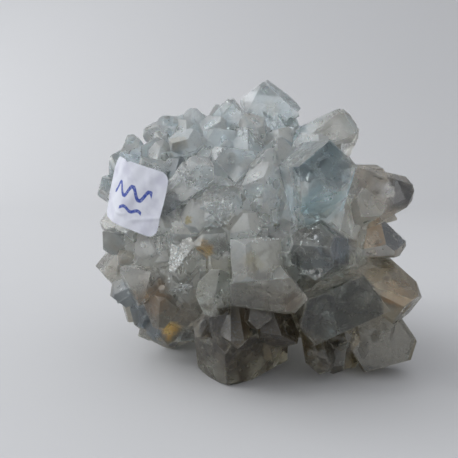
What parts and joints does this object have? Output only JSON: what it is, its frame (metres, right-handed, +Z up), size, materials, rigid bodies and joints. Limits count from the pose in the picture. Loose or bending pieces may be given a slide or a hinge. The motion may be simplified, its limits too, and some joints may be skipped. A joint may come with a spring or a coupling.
{
  "type": "celestite crystal cluster",
  "caption": "Fist-sized cluster of intergrown, translucent grey-blue tabular and wedge-ended crystals, resting on its lowest crystal tips, with a small paper label stuck on its left front",
  "frame": {"origin": "centre of the bounding box in X and Y, on the surface that the cluster rests on", "axes": "+Z up, front (the side that the picture shows) towards -Y, +X to the viewer's right and along the longest side"},
  "size_m": [0.0891, 0.0798, 0.0804],
  "materials": {
    "celestite": "translucent grey-blue crystal, glossy faces with frosted and stained patches",
    "label_paper": "matte white paper, slightly creased"
  },
  "bodies": {
    "root": {"crystal_cluster": "celestite", "paper_label": "label_paper"}
  },
  "joints": []
}
